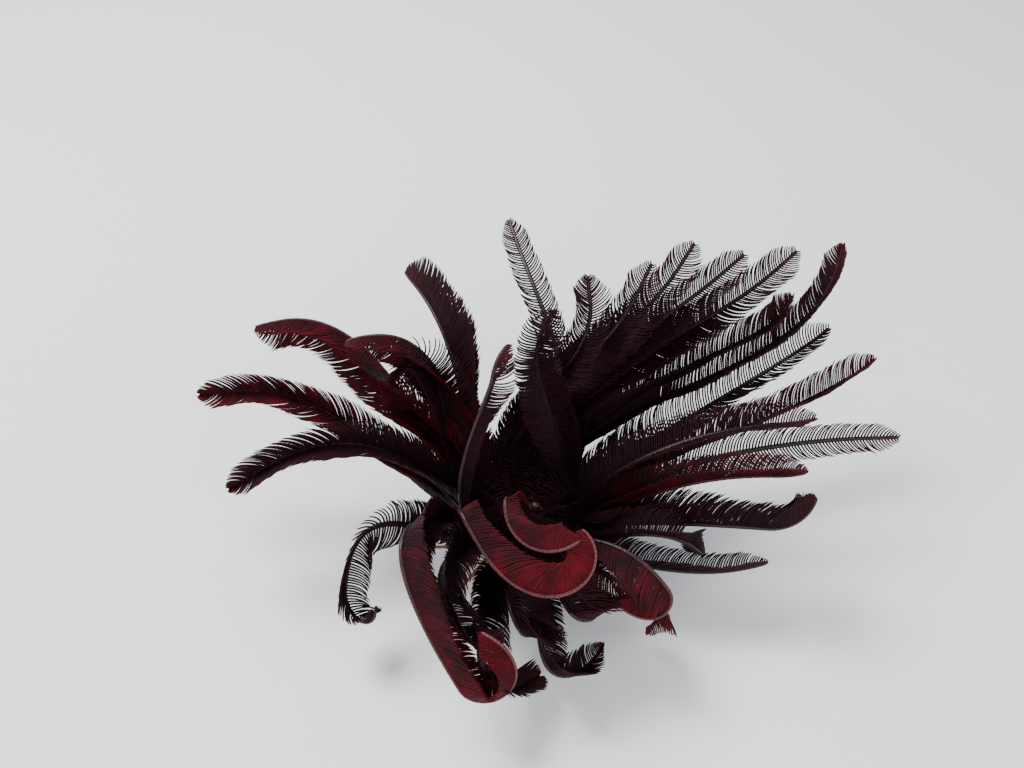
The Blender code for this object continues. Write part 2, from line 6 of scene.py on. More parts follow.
import bpy
import numpy as np
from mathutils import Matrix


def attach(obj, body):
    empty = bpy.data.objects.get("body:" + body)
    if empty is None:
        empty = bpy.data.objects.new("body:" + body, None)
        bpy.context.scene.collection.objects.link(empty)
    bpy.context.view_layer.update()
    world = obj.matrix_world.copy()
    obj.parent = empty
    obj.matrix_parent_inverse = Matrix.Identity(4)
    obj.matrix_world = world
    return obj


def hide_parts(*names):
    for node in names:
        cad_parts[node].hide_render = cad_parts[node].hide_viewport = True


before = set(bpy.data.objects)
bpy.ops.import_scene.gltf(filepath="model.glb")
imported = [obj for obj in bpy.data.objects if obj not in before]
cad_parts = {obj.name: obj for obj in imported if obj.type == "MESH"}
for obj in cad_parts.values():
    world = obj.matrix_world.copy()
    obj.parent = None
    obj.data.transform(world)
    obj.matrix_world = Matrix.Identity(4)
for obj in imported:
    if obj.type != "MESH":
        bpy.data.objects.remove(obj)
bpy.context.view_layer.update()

MM = 0.001
rng = np.random.default_rng(7)

# The frame's origin lies this far from the cup's axis, in mm
FRAME_CENTRE = (8.65, 13.09)

# Camera: the cup's place in the picture and the picture's scale there
IMAGE = (1024, 768)
LENS = 40.0
SENSOR = 36.0
ELEVATION = 45.0
CUP_PIXEL = (520, 528)
CUP_SCALE = 3.2
CUP_POINT = (0.0, 0.0, 16.0)

# Cup and cirri, in mm
CUP_RADIUS = 4.4
CUP_LOW = 8.5
CUP_HIGH = 13.6
CIRRUS_COUNT = 18
CIRRUS_REACH = (24.0, 31.0)
CIRRUS_RADIUS = (0.75, 0.42)
CIRRUS_ARCH = 5.5
CIRRUS_SINK = 0.32
CIRRUS_SWAY = 5.0
CIRRUS_RINGS = 6
CIRRUS_SIDES = 10
CIRRUS_ROWS = 20
FREE_CIRRUS_EVERY = 3
CIRRAL_LENGTH = 1.35

# Ray bases, in mm
RAY_BEARINGS = {"a": 18.0, "b": 90.0, "c": 162.0, "d": 234.0, "e": 306.0}
RAY_START_RADIUS = 4.3
RAY_START_HEIGHT = 14.9
RAY_START_LENGTH = 3.2
BRANCH_RADIUS = (1.5, 1.05)
ROOT_RADIUS = 15.0
ROOT_SPREAD = 62.0
ROOT_HEIGHTS = (18.5, 22.5)
ROOT_RISES = (30.0, 58.0)
STEEP_ARM = 1.05

# Oral disc, in mm
DISC_RADIUS = 10.0
DISC_RIM = (21.0, 22.6)
DISC_TOP = 25.2
DISC_LOW = 18.0
CONE_HEIGHT = 30.5
CONE_PLACE = (4.2, -1.8)

# Arms: radii and lengths in mm, the rest in shares
RACHIS_RADIUS = (1.05, 0.55)
STEPS = 60
ROOT_PULL = 0.3
ORAL_UP = 0.75
ORAL_IN = 0.65
PLAIN_CURL = (22.0, 40.0, 18.0)
FACE_FROM = 0.7
BRACHIAL = 1.25
SKIN_SIDES = 12
SKIN_GROOVE = 0.45

# Lengths of the pinnules, in mm and in shares of the arm
PINNULE_LENGTH = 9.4
ROOT_SHARE = 0.8
FULL_FROM = 0.22
FULL_TO = 0.45
END_SHARE = 0.7
TIP_ROUND = 10.0
TIP_POWER = 0.65
BARE_SHARE = 0.4
BARE_RAMP = 0.2
ORAL_PINNULE = 13.0
ORAL_REACH = 9.0
ORAL_FADE = 7.0

# Pinnules of a comb folded by 24, 50 and 74 degrees: pitch and radius in mm, then shares
PINNULE_FOLDS = (24.0, 50.0, 74.0)
PINNULE_PITCH = (1.0, 0.6, 0.42)
PINNULE_RADIUS = (0.3, 0.26, 0.21)
HOOK_SHARES = (1.0, 0.8, 0.5)
SHAKE_SHARES = (1.0, 0.6, 0.5)

# Lean to the tip, hook at the end and rise of a pinnule, and its cross-sections
PINNULE_LEAN = 14.0
PINNULE_HOOK = 55.0
PINNULE_RISE = 0.1
PINNULE_RINGS = 9
PINNULE_SIDES = 5
PINNULE_STEPS = np.linspace(0, 1, PINNULE_RINGS) ** 0.85

# The rows stand closer on the inner length of an arm, and for longer on an arm that rises high
ROW_START = 0.4
ROW_STOP = 0.3
DENSE_HEIGHT = 50.0
DENSE_ENDS = (0.45, 0.82)
DENSE_FADE = 0.3
DENSE_MORE = 1.1

# Redness along an arm, which paints it as sunlit against painted shade in near-black maroon, and the unwrap
# of skin and tufts
RED_START = 0.15
RED_POWER = 1.6
ARM_ROWS = 38
UV_REACH = 160.0
TUFT_PATCH = 0.003

# Colours
# Near-black maroon and maroon: painted shade on the arms in shadow; the near-black also darkens the skin's
# joints
BLACK_MAROON = (0.006, 0.0016, 0.0032)
MAROON = (0.018, 0.0036, 0.0065)
# Deep and bright red in random patches: the animal's own red, shown where an arm is painted as sunlit
DEEP_RED = (0.055, 0.002, 0.0052)
BRIGHT_RED = (0.11, 0.002, 0.008)
# Painted highlight on the outer ends of the pinnules: dim maroon on arms painted in shade, red on arms
# painted sunlit
RIM_HIGHLIGHT_MAROON = (0.022, 0.005, 0.007)
RIM_HIGHLIGHT_RED = (0.1, 0.0025, 0.007)
# Arm ends: maroon where an arm is painted in shade, deep red where it is painted sunlit
END_MAROON = (0.045, 0.007, 0.01)
# Ridge under the arm: pink-brown where an arm is painted sunlit, dark where it is painted in shade
PINK_BROWN = (0.17, 0.055, 0.06)
RIDGE_DARK = (0.03, 0.009, 0.011)
LEATHER_DARK = (0.016, 0.005, 0.007)
LEATHER = (0.05, 0.013, 0.017)
FOOD_GROOVE = (0.08, 0.03, 0.028)
HORN = (0.2, 0.05, 0.022)
HORN_DARK = (0.12, 0.03, 0.02)
KNUCKLE = (0.28, 0.11, 0.06)

# Arm table. waist and tip: bearing in degrees, reach from the axis and height over the floor in mm.
# curl: degrees, first and last radius in mm. face: bearing and elevation of the oral side at the tip.
# fold: degrees by which the two rows of pinnules rise to the oral side. size: share of the usual length.
# bare: share of the arm, from its root, over which the pinnules stay short.
# lean: degrees by which the pinnules lean further to the tip than those of other arms.
# The column after face: how far an arm is painted as sunlit red; an arm given little is painted in shade,
# near-black maroon.
FIELDS = "ray waist tip curl face red fold size bare lean"
Arm = namedtuple("Arm", FIELDS, defaults=(None, None, 0.1, 34, 1.0, 0.0, 0))
ARMS = {
    "a0": Arm("a", (57, 16.5, 54), (60, 13.9, 91), (15, 40, 20), (270, 40), 0.1, 24, 1.05),
    "a1": Arm("a", (347.4, 44.9, 31), (346.3, 73.3, 38), (78, 15, 12), (90, 45), 0.1, 50, 1.3, 0, 4),
    "a2": Arm("a", (354.3, 40.2, 38.2), (354, 73.3, 50), None, (120, 70), 0.35, 50, 1, 0, 6),
    "a3": Arm("a", (12.5, 60.2, 33.7), (9.2, 112.4, 38), (8, 60, 40), (270, 50), 0.1, 26, 0.85),
    "a4": Arm("a", (6.5, 39.4, 45.8), (5.3, 77.6, 56), None, None, 0.1, 40),
    "a5": Arm("a", (22.1, 62.7, 29), (21.9, 116.2, 40), None, (190, 60), 0.35, 44, 1.1, 0, 10),
    "a6": Arm("a", (28.8, 53.8, 33), (27.1, 103, 50), None, None, 0.1, 30, 1.1),
    "a7": Arm("a", (71.9, 43.6, 45.4), (90.8, 81.2, 66), (10, 60, 45), (270, 45), 0.1, 24, 0.78),
    "b1": Arm("b", (33.1, 64.5, 43.5), (33.6, 123.9, 66), (10, 50, 40), (210, 50), 0.1, 48, 0.95, 0, 8),
    "b2": Arm("b", (47.9, 47.9, 51.5), (35.3, 99.1, 74), (10, 50, 40), (250, 45), 0.1, 36, 1.12),
    "b3": Arm("b", (57, 39.8, 52), (40, 82.9, 76), (10, 50, 40), (270, 45), 0.1, 36, 1.12),
    "b4": Arm("b", (62.3, 34.5, 52.3), (46.3, 71, 80), (10, 50, 40), (270, 45), 0.1, 36, 1.12),
    "b5": Arm("b", (68.5, 26, 51.5), (48.7, 54.5, 80), (10, 50, 40), (270, 45), 0.1, 36, 1.12),
    "b6": Arm("b", (73.2, 20.6, 54), (59.4, 40.2, 80), (10, 50, 40), (270, 40), 0.1, 40, 1.1, 0.4),
    "b7": Arm("b", (40.7, 56.9, 43), (31.5, 96, 59), None, None, 0.2, 52, 1.1, 0, 8),
    "c1": Arm("c", (132, 27, 58), (123, 62, 73), (10, 40, 30), (10, 20), 0.15, 60, 1.35, 0.36, 5),
    "c2": Arm("c", (135.8, 30.6, 54), (147.7, 51.8, 72), (25, 30, 14), (262, -20), 0.36, 60, 1.25, 0, 5),
    "c3": Arm("c", (146.1, 46.1, 53.7), (152.7, 83.5, 68), (8, 60, 40), (255, -15), 0.42, 60, 1.4, 0, 5),
    "c4": Arm("c", (159.5, 51.4, 38.3), (161.7, 96.1, 46), (14, 50, 30), (275, 45), 0.4, 56, 1.3, 0, 8),
    "c5": Arm("c", (169.4, 39.6, 43), (177.5, 80, 38), (14, 50, 30), (275, 50), 0.15, 56, 1.25, 0, 8),
    "c6": Arm("c", (193, 15.5, 57), (186, 8, 82), (40, 24, 12), (20, 0), 0.3, 42, 1.05, 0.62),
    "c7": Arm("c", (141.1, 25.9, 38.7), (145.9, 43.8, 49), (14, 40, 30), (300, 30), 0.2, 46, 1.4),
    "c8": Arm("c", (143.5, 28.5, 52), (146.3, 40, 65), (14, 40, 30), (300, 30), 0.2, 46, 1.4),
    "d1": Arm("d", (201.6, 38.1, 36), (208, 58, 22), (200, 9, 4.5), (325, 10), 0.1, 30),
    "d2": Arm("d", (224.4, 42.1, 54), (254.3, 61.6, 21), (215, 6.5, 30), (0, 0), 0.8, 54, 1.1, 0.08),
    "d3": Arm("d", (229.8, 25, 45.9), (247.6, 34.1, 54), (208, 120, 8), (10, 12), 1, 74, 1.4, 0.42),
    "d4": Arm("d", (255, 45, 22), (269.1, 52.3, 11), (25, 30, 14), (20, 40), 0.1, 50, 1.3, 0, 12),
    "d5": Arm("d", (236, 34, 40), (249, 50, 32), (120, 12, 6), (0, 30), 0.1, 48, 1.3, 0, 12),
    "d6": Arm("d", (264, 34, 30), (270, 43, 24), (130, 9, 5), (20, 40), 0.15, 50, 1.5, 0, 6),
    "e1": Arm("e", (277, 42, 25), (286, 52, 13), (130, 9, 6), (40, 40), 0.1, 44, 0.9),
    "e2": Arm("e", (267.6, 20.7, 48), (261.9, 29, 60), (125, 11, 13), (10, 10), 0.75, 74, 1.1, 0.58),
    "e3": Arm("e", (315.8, 30.1, 36.8), (319, 54.4, 34), (165, 4, 60), (216, -32), 0.75, 64, 1.15, 0.25),
    "e4": Arm("e", (320, 41, 22), (323, 53, 14), (70, 12, 6), (240, -45), 0.5, 36, 0.8),
    "e5": Arm("e", (332.7, 40.8, 22.3), (343.9, 70.3, 22), (8, 50, 40), (90, 60), 0.1, 38, 0.9),
    "e6": Arm("e", (335, 35, 32), (343, 54, 26), (40, 30, 10), None, 0.1, 50, 0.9),
    "e7": Arm("e", (288, 36, 30), (296, 44, 25), (120, 8, 5), (60, 40), 0.2, 50, 1.5),
}


def polar(bearing, reach, height):
    turn = math.radians(bearing)
    return np.array([reach * math.cos(turn), reach * math.sin(turn), height])


def unit(rows):
    rows = np.asarray(rows, float)
    return rows / np.maximum(np.linalg.norm(rows, axis=-1, keepdims=True), 1e-9)


def across(rows, tangent):
    """The rows with their share along the tangent taken out, as unit vectors."""
    return unit(rows - tangent * np.sum(rows * tangent, axis=-1, keepdims=True))


def smooth(t):
    t = np.clip(t, 0, 1)
    return t * t * (3 - 2 * t)


def in_frame(rows):
    """Points in mm about the cup's axis, as metres in the row frame."""
    return (np.asarray(rows) - [FRAME_CENTRE[0], FRAME_CENTRE[1], 0]) * MM


def arm_roots():
    """Root point and direction of each arm: the arms of a ray leave it side by side, in two tiers."""
    found = {}
    for ray, middle in RAY_BEARINGS.items():
        names = [name for name, arm in ARMS.items() if arm.ray == ray]
        names.sort(key=lambda name: (ARMS[name].waist[0] - middle + 180) % 360)
        for i, name in enumerate(names):
            side = (i + 0.5) / len(names) - 0.5
            tier = 1 if ARMS[name].waist[2] / ARMS[name].waist[1] > STEEP_ARM else 0
            bearing = middle + side * ROOT_SPREAD
            rise = math.radians(ROOT_RISES[tier])
            leave = polar(bearing, math.cos(rise), math.sin(rise))
            found[name] = (polar(bearing, ROOT_RADIUS, ROOT_HEIGHTS[tier]), leave)
    return found


def centreline(arm, start, leave):
    """Points, tangents and oral directions from root through waist to tip, then round the curl."""
    waist = polar(*arm.waist)
    tip = polar(*arm.tip)
    reach = np.linalg.norm(waist - start) + np.linalg.norm(tip - waist)
    pull = start + leave * reach * ROOT_PULL
    push = (8 * waist - start - 3 * pull - tip) / 3
    t = np.linspace(0, 1, STEPS)[:, None]
    line = (1 - t) ** 3 * start + 3 * t * (1 - t) ** 2 * pull + 3 * t * t * (1 - t) * push + t**3 * tip
    tangent = unit(np.gradient(line, axis=0))
    outward = line * [1, 1, 0]
    outward = outward / np.maximum(np.linalg.norm(outward, axis=1, keepdims=True), 1)
    oral = across(np.array([0, 0, ORAL_UP]) - ORAL_IN * outward, tangent)
    if arm.face:
        bearing, rise = arm.face
        want = polar(bearing, math.cos(math.radians(rise)), math.sin(math.radians(rise)))
        part = np.minimum(1, t / FACE_FROM)
        share = part * part * (3 - 2 * part)
        oral = across(oral * (1 - share) + across(want + 0 * tangent, tangent) * share, tangent)
    angle, first, last = arm.curl or PLAIN_CURL
    length = math.radians(angle) / ((1 / first + 1 / last) / 2)
    along = np.linspace(0, length, STEPS // 2)
    bend = 1 / first + (1 / last - 1 / first) * along / length
    turn = np.concatenate([[0], np.cumsum((bend[1:] + bend[:-1]) / 2 * np.diff(along))])[:, None]
    ahead = np.cos(turn) * tangent[-1] + np.sin(turn) * oral[-1]
    inward = np.cos(turn) * oral[-1] - np.sin(turn) * tangent[-1]
    more = line[-1] + np.cumsum((ahead[1:] + ahead[:-1]) / 2 * np.diff(along)[:, None], axis=0)
    line = np.concatenate([line, more])
    return line, np.concatenate([tangent, ahead[1:]]), np.concatenate([oral, inward[1:]])


def branch_line(ray, root, leave):
    """The branch from the ray's trunk to an arm's root, as in the solids."""
    middle = RAY_BEARINGS[ray]
    trunk_end = polar(middle, RAY_START_RADIUS, RAY_START_HEIGHT) + polar(middle, RAY_START_LENGTH, 0.5)
    start = trunk_end - polar(middle, 1.6, 0.2)
    rise = root - leave * 3.4
    t = np.linspace(0, 1, 14)[:, None]
    ahead = start + polar(middle, 2.6, 0)
    return (1 - t) ** 3 * start + 3 * t * (1 - t) ** 2 * ahead + 3 * t * t * (1 - t) * rise + t**3 * root


class Path:
    """One arm's rachis, read by its length in mm from the root."""

    def __init__(self, name, start, leave):
        self.name = name
        self.arm = ARMS[name]
        self.line, self.tangent, self.oral = centreline(self.arm, start, leave)
        steps = np.linalg.norm(np.diff(self.line, axis=0), axis=1)
        self.at = np.concatenate([[0], np.cumsum(steps)])
        self.length = self.at[-1]

    def pick(self, rows, s):
        return np.stack([np.interp(s, self.at, rows[:, i]) for i in range(3)], axis=-1)

    def frame(self, s):
        """Points, tangents, oral directions and side directions at some lengths."""
        tangent = unit(self.pick(self.tangent, s))
        oral = across(self.pick(self.oral, s), tangent)
        return self.pick(self.line, s), tangent, oral, np.cross(tangent, oral)

    def radius(self, s):
        root, end = RACHIS_RADIUS
        return root + (end - root) * np.asarray(s) / self.length


def sweep_faces(rows, sides):
    """Quads between the rings of a tube."""
    ring = np.arange(rows - 1)[:, None] * sides
    side = np.arange(sides)
    after = (side + 1) % sides
    quads = np.stack([ring + side, ring + after, ring + sides + after, ring + sides + side], axis=-1)
    return quads.reshape(-1, 4)


def new_mesh(name, points, quads, values, uv):
    """A mesh object from arrays. A quad whose last two corners are one is a triangle."""
    quads = np.asarray(quads, np.int32)
    triangle = quads[:, 2] == quads[:, 3]
    order = np.concatenate([np.flatnonzero(~triangle), np.flatnonzero(triangle)])
    quads = quads[order]
    count = int((~triangle).sum())
    loops = np.concatenate([quads[:count].reshape(-1), quads[count:, :3].reshape(-1)])
    sizes = np.concatenate([np.full(count, 4), np.full(len(quads) - count, 3)]).astype(np.int32)
    starts = np.concatenate([[0], np.cumsum(sizes)[:-1]]).astype(np.int32)
    mesh = bpy.data.meshes.new(name)
    mesh.vertices.add(len(points))
    mesh.vertices.foreach_set("co", in_frame(points).astype(np.float32).reshape(-1))
    mesh.loops.add(len(loops))
    mesh.loops.foreach_set("vertex_index", loops.astype(np.int32))
    mesh.polygons.add(len(sizes))
    mesh.polygons.foreach_set("loop_start", starts)
    mesh.polygons.foreach_set("loop_total", sizes)
    mesh.update(calc_edges=True)
    mesh.validate()
    mesh.polygons.foreach_set("use_smooth", np.full(len(mesh.polygons), True))
    for key, rows in values.items():
        layer = mesh.attributes.new(key, "FLOAT", "POINT")
        layer.data.foreach_set("value", np.asarray(rows, np.float32))
    layer = mesh.uv_layers.new(name="OFBake")
    corner = np.empty(len(mesh.loops), np.int32)
    mesh.loops.foreach_get("vertex_index", corner)
    layer.data.foreach_set("uv", np.asarray(uv, np.float32)[corner].reshape(-1))
    made = bpy.data.objects.new(name, mesh)
    bpy.context.scene.collection.objects.link(made)
    return made


class Parts:
    """Gathers tubes into one mesh."""

    def __init__(self):
        self.points, self.quads, self.uv, self.values, self.count = [], [], [], {}, 0

    def add(self, points, quads, uv, **values):
        self.points.append(points)
        self.quads.append(quads + self.count)
        self.uv.append(uv)
        for key, rows in values.items():
            self.values.setdefault(key, []).append(rows)
        self.count += len(points)

    def make(self, name):
        values = {key: np.concatenate(rows) for key, rows in self.values.items()}
        uv = np.concatenate(self.uv)
        return new_mesh(name, np.concatenate(self.points), np.concatenate(self.quads), values, uv)


def tube(line, tangent, up, wide, tall, sides=12, groove=0.0):
    """Points of a tube with a groove along its upper side, and its faces with closed ends."""
    side = np.cross(tangent, up)
    turn = 2 * math.pi * np.arange(sides) / sides
    c, s = np.cos(turn), np.sin(turn)
    dip = 1 - groove * np.maximum(0, s) ** 6
    points = (
        line[:, None]
        + side[:, None] * (wide[:, None] * c)[..., None]
        + up[:, None] * (tall[:, None] * s * dip)[..., None]
    )
    rows = len(line)
    points = points.reshape(-1, 3)
    quads = sweep_faces(rows, sides)
    ends = np.array([line[0], line[-1]])
    points = np.concatenate([points, ends])
    k = np.arange(sides)
    after = (k + 1) % sides
    low = np.stack([np.full(sides, rows * sides), after, k, k], axis=-1)
    base = (rows - 1) * sides
    high = np.stack([np.full(sides, rows * sides + 1), base + k, base + after, base + after], axis=-1)
    return points, np.concatenate([quads, low, high]), np.concatenate([np.tile(s, rows), [0, 0]])


def rachis(parts, index, path, root, leave):
    """One arm of the skin, from inside its ray base to its tip, with its ossicles as low rings."""
    trunk = branch_line(path.arm.ray, root, leave)
    steps = np.linalg.norm(np.diff(trunk, axis=0), axis=1)
    before = -np.concatenate([np.cumsum(steps[::-1])[::-1], [0]])
    fine = np.arange(0, path.length, BRACHIAL / 3)
    line, tangent, oral, _ = path.frame(fine)
    at = np.concatenate([before[:-1], fine])
    line = np.concatenate([trunk[:-1], line])
    head = unit(np.gradient(trunk, axis=0))[:-1]
    tangent = np.concatenate([head, tangent])
    up = np.concatenate([across(np.array([0, 0, 1.0]) + 0 * head, head), oral])
    share = smooth((at + 4) / 8)[:, None]
    first_oral = oral[0]
    up = across(up * share + across(first_oral + 0 * tangent, tangent) * (1 - share), tangent)
    branch = np.interp(at, [before[0], 0], BRANCH_RADIUS)
    radius = np.where(at < 0, branch, path.radius(np.maximum(at, 0)))
    phase = (at / BRACHIAL) % 1.0
    ring = 1 + 0.07 * np.cos(2 * math.pi * phase) ** 2 * np.sign(0.5 - np.abs(phase - 0.5) + 1e-6)
    lean = 0.05 * np.sin(math.pi * at / BRACHIAL)
    close = np.clip((path.length - at) / 1.2, 0.15, 1) ** 0.5
    wide = radius * 0.97 * ring * close
    tall = radius * 0.86 * ring * close
    line = line + np.cross(tangent, up) * (lean * radius)[:, None]
    points, quads, height = tube(line, tangent, up, wide, tall, SKIN_SIDES, SKIN_GROOVE)
    rows = len(line)
    along = np.clip(at / path.length, 0, 1)
    u = 0.02 + 0.96 * (at - at[0]) / UV_REACH
    v = (index + 0.1 + 0.8 * np.arange(SKIN_SIDES) / SKIN_SIDES) / ARM_ROWS
    uv = np.stack([np.repeat(u, SKIN_SIDES), np.tile(v, rows)], axis=-1)
    uv = np.concatenate([uv, [[u[0], v[0]], [u[-1], v[0]]]])
    along = np.concatenate([np.repeat(along, SKIN_SIDES), [along[0], along[-1]]])
    suture = np.exp(-((np.minimum(phase, 1 - phase) * 6) ** 2))
    parts.add(
        points,
        quads,
        uv,
        red=lit_red_share(path.arm, along),
        along=along,
        top=height,
        suture=np.concatenate([np.repeat(suture, SKIN_SIDES), [0, 0]]),
        disc=np.zeros(len(points)),
    )


def disc(parts):
    """The soft oral disc of the skin, with its mouth, its branching food grooves and the anal cone."""
    rings, sides = 40, 96
    r = np.linspace(0.0, 1.0, rings)
    turn = 2 * math.pi * np.arange(sides) / sides
    rr, tt = np.meshgrid(r, turn, indexing="ij")
    top = DISC_RIM[1] - 0.25 + (DISC_TOP - DISC_RIM[1]) * (1 - rr**2.2)
    groove = np.zeros_like(rr)
    for bearing in RAY_BEARINGS.values():
        for fork in (-1, 1):
            bend = math.radians(bearing) + fork * math.radians(17) * smooth((rr - 0.35) / 0.5)
            gap = np.angle(np.exp(1j * (tt - bend))) * rr * DISC_RADIUS
            groove = np.maximum(groove, np.exp(-((gap / 0.55) ** 2)) * smooth((rr - 0.08) / 0.15))
    mouth = np.exp(-((rr / 0.1) ** 2))
    lumps = 0.09 * np.sin(tt * 23 + rr * 31) * np.sin(rr * 47 + 3 * np.sin(tt * 9)) * rr
    height = top - 0.55 * groove - 1.1 * mouth + lumps
    points = np.stack([rr * DISC_RADIUS * np.cos(tt), rr * DISC_RADIUS * np.sin(tt), height], axis=-1)
    under_r = np.array([1.0, 0.98, 0.75, 0.45, 0.0]) * DISC_RADIUS
    rim = DISC_RIM[0]
    under_z = np.array([rim + 0.6, rim + 0.1, DISC_LOW + 1.7, DISC_LOW + 0.6, DISC_LOW + 0.15])
    under_r = under_r[:, None]
    under = np.stack([under_r * np.cos(turn), under_r * np.sin(turn), under_z[:, None] + 0 * turn], axis=-1)
    points = np.concatenate([points.reshape(-1, 3), under.reshape(-1, 3)])
    quads = sweep_faces(rings + 5, sides)[:, ::-1]
    flat = points[:, :2] / (DISC_RADIUS * 2.2)
    uv = np.stack([0.5 + flat[:, 0] * 0.02, 0.985 + flat[:, 1] * 0.02], axis=-1)
    low = np.concatenate([groove.reshape(-1), np.zeros(5 * sides)])
    ones = np.ones(len(points))
    parts.add(points, quads, uv, red=ones * 0.15, along=ones * 0, top=ones * 0.4, suture=low, disc=ones)
    foot = np.array([CONE_PLACE[0], CONE_PLACE[1], DISC_TOP - 2.0])
    t = np.linspace(0, 1, 16)
    line = foot + np.stack([0.5 * t, 0 * t, (CONE_HEIGHT - DISC_TOP + 1.9) * t], axis=-1)
    tangent = unit(np.gradient(line, axis=0))
    up = across(np.array([0.0, 1.0, 0.0]) + 0 * line, tangent)
    wide = np.interp(t, [0, 0.25, 0.8, 0.95, 1], [2.6, 1.9, 1.4, 1.15, 0.5])
    wide = wide * (1 + 0.03 * np.sin(t * 40))
    points, quads, height = tube(line, tangent, up, wide, wide, 18)
    uv = np.stack([0.52 + 0.01 * points[:, 0] / 10, 0.985 + 0.01 * points[:, 1] / 10], axis=-1)
    ones = np.ones(len(points))
    parts.add(points, quads, uv, red=ones * 0.2, along=ones * 0, top=ones * 0.2, suture=ones * 0, disc=ones)


def lit_red_share(arm, part):
    """How far an arm is painted as sunlit red at a share of its length, the rest being painted shade:
    shaded by its root, and an arm that is bare by the cup reddens to its end.
    """
    dark = smooth((part - 0.05) / 0.2)
    if arm.bare:
        dark = dark * (RED_START + (1 - RED_START) * part**RED_POWER)
    return arm.red * dark


def by_fold(arm, values):
    """One of the values given for PINNULE_FOLDS, read at the arm's own fold."""
    return float(np.interp(arm.fold, PINNULE_FOLDS, values))


def pinnule_places(path, side):
    """Lengths along one side of an arm at which its pinnules stand."""
    grid = np.linspace(ROW_START, path.length - ROW_STOP, 400)
    dense_end = DENSE_ENDS[path.arm.waist[2] > DENSE_HEIGHT]
    extra = DENSE_MORE * smooth((dense_end - grid / path.length) / DENSE_FADE)
    rate = (1 + extra) / by_fold(path.arm, PINNULE_PITCH)
    count = np.concatenate([[0], np.cumsum((rate[1:] + rate[:-1]) / 2 * np.diff(grid))])
    at = np.interp(np.arange(0.5 * (side > 0), count[-1], 1.0), count, grid)
    return at + rng.normal(0, 0.05, len(at))


def pinnule_sizes(path, at):
    """Length of each pinnule, and how far it counts as one of the long ones by the mouth."""
    arm = path.arm
    part = at / path.length
    start = ROOT_SHARE + (1 - ROOT_SHARE) * np.minimum(1, part / FULL_FROM)
    end = 1 - (1 - END_SHARE) * np.maximum(0, part - FULL_TO) / (1 - FULL_TO)
    tip = np.clip((path.length - at) / TIP_ROUND, 0.06, 1) ** TIP_POWER
    if arm.bare:
        start = start * (BARE_SHARE + (1 - BARE_SHARE) * np.clip((part - arm.bare) / BARE_RAMP, 0, 1))
    size = PINNULE_LENGTH * arm.size * start * end * tip * rng.normal(1, 0.035, len(at))
    by_mouth = smooth((ORAL_REACH - at) / ORAL_FADE)
    return size * (1 - by_mouth) + ORAL_PINNULE * by_mouth, by_mouth


def pinnule_lines(path, side, index, at):
    """Centrelines of the pinnules, their directions and their upper sides."""
    arm = path.arm
    n = len(at)
    size, by_mouth = pinnule_sizes(path, at)
    shake = by_fold(arm, SHAKE_SHARES)
    point, tangent, oral, flank = path.frame(at)
    wave = np.sin(at * 0.21 + index * 2.1 + side)
    fold = np.radians(arm.fold + 3 * wave + rng.normal(0, 1.6 * shake, n) + 30 * by_mouth)[:, None]
    lean = PINNULE_LEAN + arm.lean + 3 * np.sin(at * 0.13 + index) + rng.normal(0, 1.2 * shake, n)
    lean = lean + 14 * smooth(1 - (path.length - at) / TIP_ROUND)
    lean = np.radians(lean - 40 * by_mouth)[:, None]
    hook = PINNULE_HOOK * (1 - by_mouth) * by_fold(arm, HOOK_SHARES)
    hook = np.radians(hook + rng.normal(0, 2.5 * shake, n))[:, None]
    out = side * flank * np.cos(fold) + oral * np.sin(fold)
    root = point + out * (path.radius(at) * 0.45)[:, None]
    angle = lean + hook * PINNULE_STEPS**1.6
    rise = (PINNULE_RISE + 0.04 * shake * rng.normal(0, 1, n))[:, None] * PINNULE_STEPS
    ahead = (
        out[:, None] * np.cos(angle)[..., None]
        + tangent[:, None] * np.sin(angle)[..., None]
        + oral[:, None] * rise[..., None]
    )
    steps = (ahead[:, 1:] + ahead[:, :-1]) / 2 * (size[:, None] * np.diff(PINNULE_STEPS))[..., None]
    line = root[:, None] + np.concatenate([np.zeros((n, 1, 3)), np.cumsum(steps, axis=1)], axis=1)
    ahead = unit(ahead)
    return line, ahead, across(np.broadcast_to(oral[:, None], ahead.shape), ahead)


